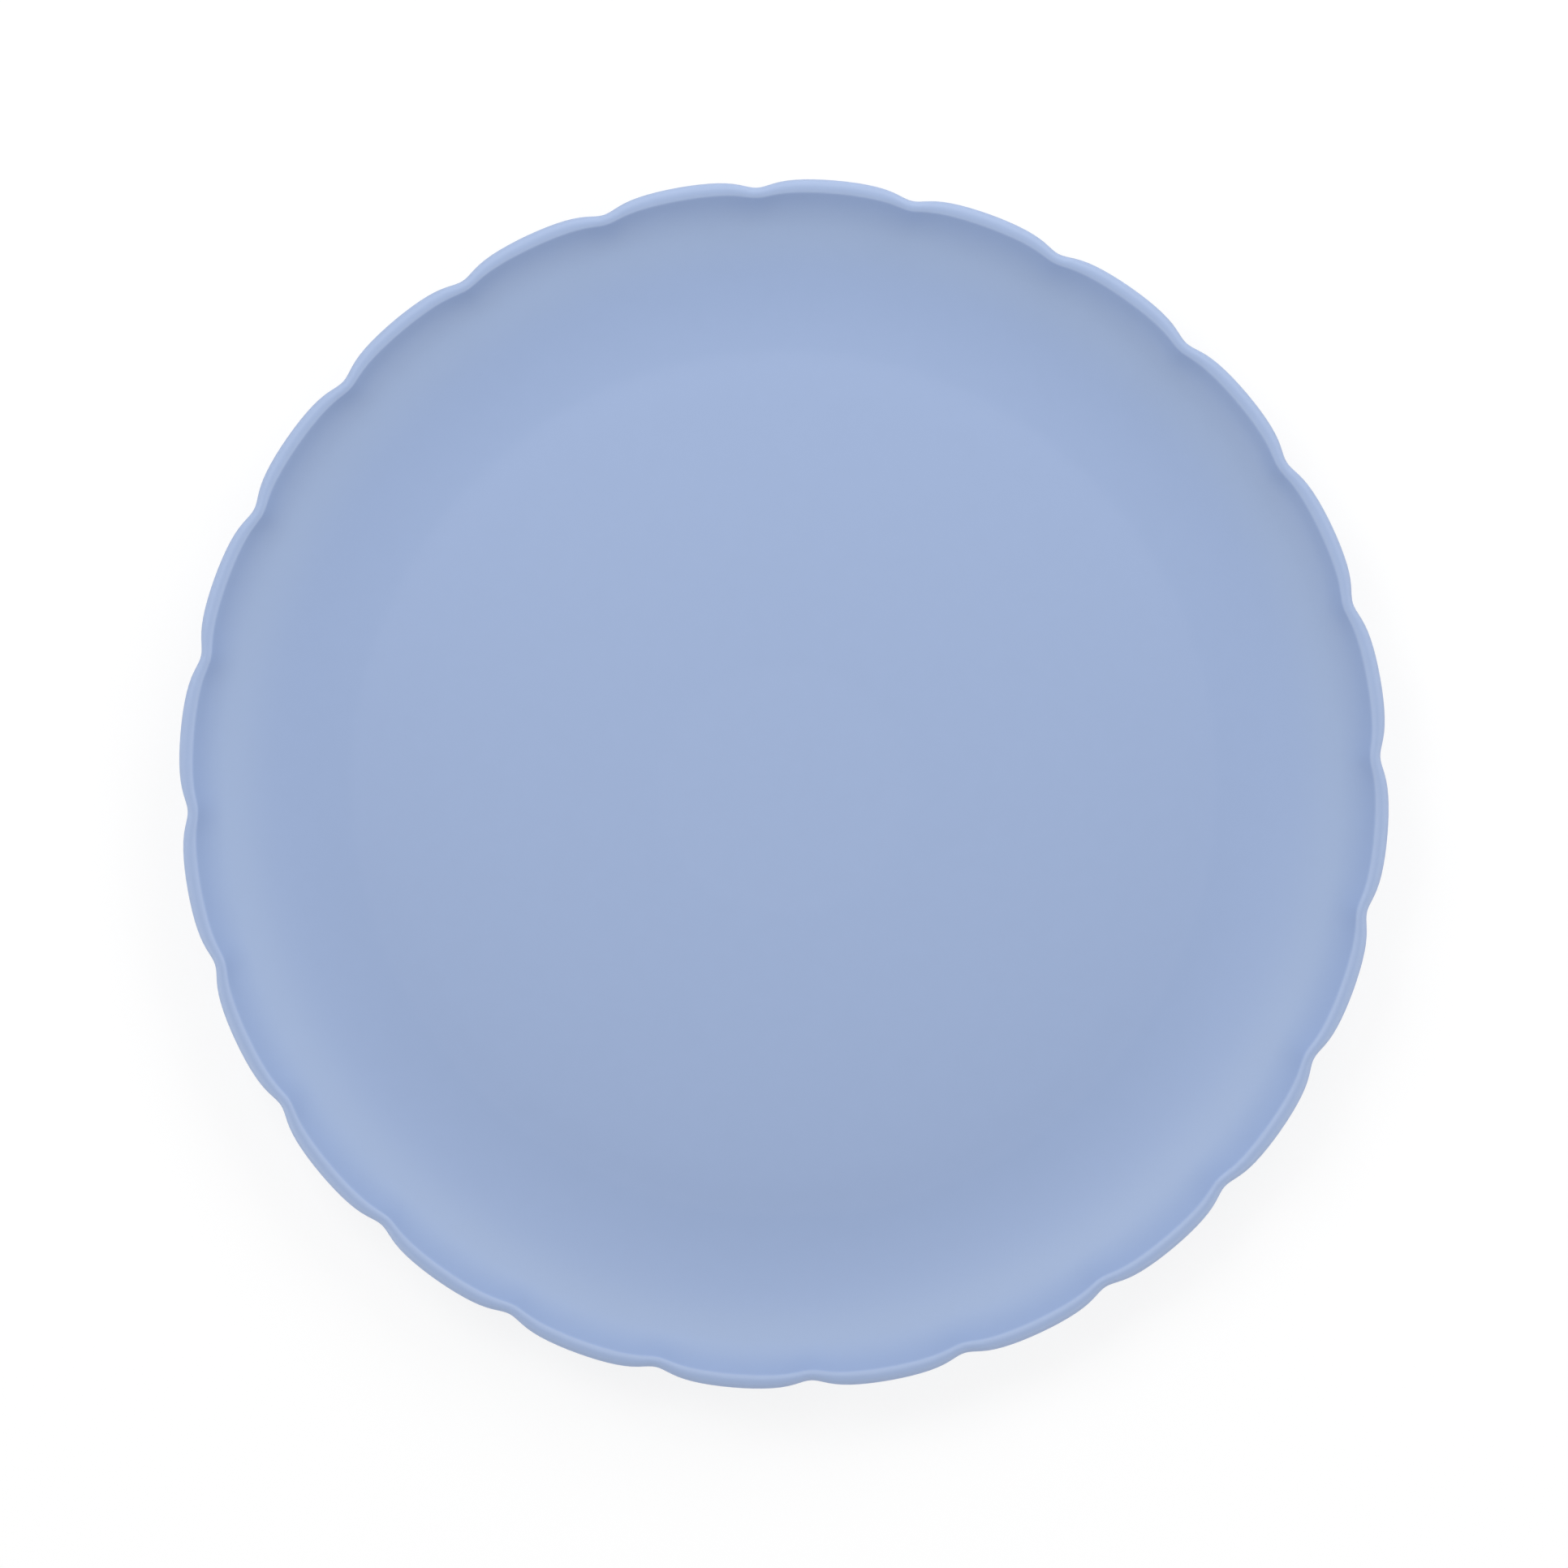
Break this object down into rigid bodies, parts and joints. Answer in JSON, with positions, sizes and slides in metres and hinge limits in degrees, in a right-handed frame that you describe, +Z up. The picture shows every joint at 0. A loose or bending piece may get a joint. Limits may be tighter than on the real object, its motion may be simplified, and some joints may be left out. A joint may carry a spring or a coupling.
{
  "type": "plastic plate",
  "caption": "Round plastic dinner plate with a scalloped rim, a rounded lip, a sloping wall around a wide flat well, and a foot ring to stand on.",
  "frame": {"origin": "centre of the foot ring's resting face, on the plate's axis", "axes": "+Z up along the plate's axis, +X and +Y through lobe tips"},
  "size_m": [0.25, 0.25, 0.017],
  "materials": {
    "plate_plastic": "light blue moulded plastic, matte with a faint sheen"
  },
  "bodies": {
    "root": {"plate": "plate_plastic"}
  },
  "joints": []
}
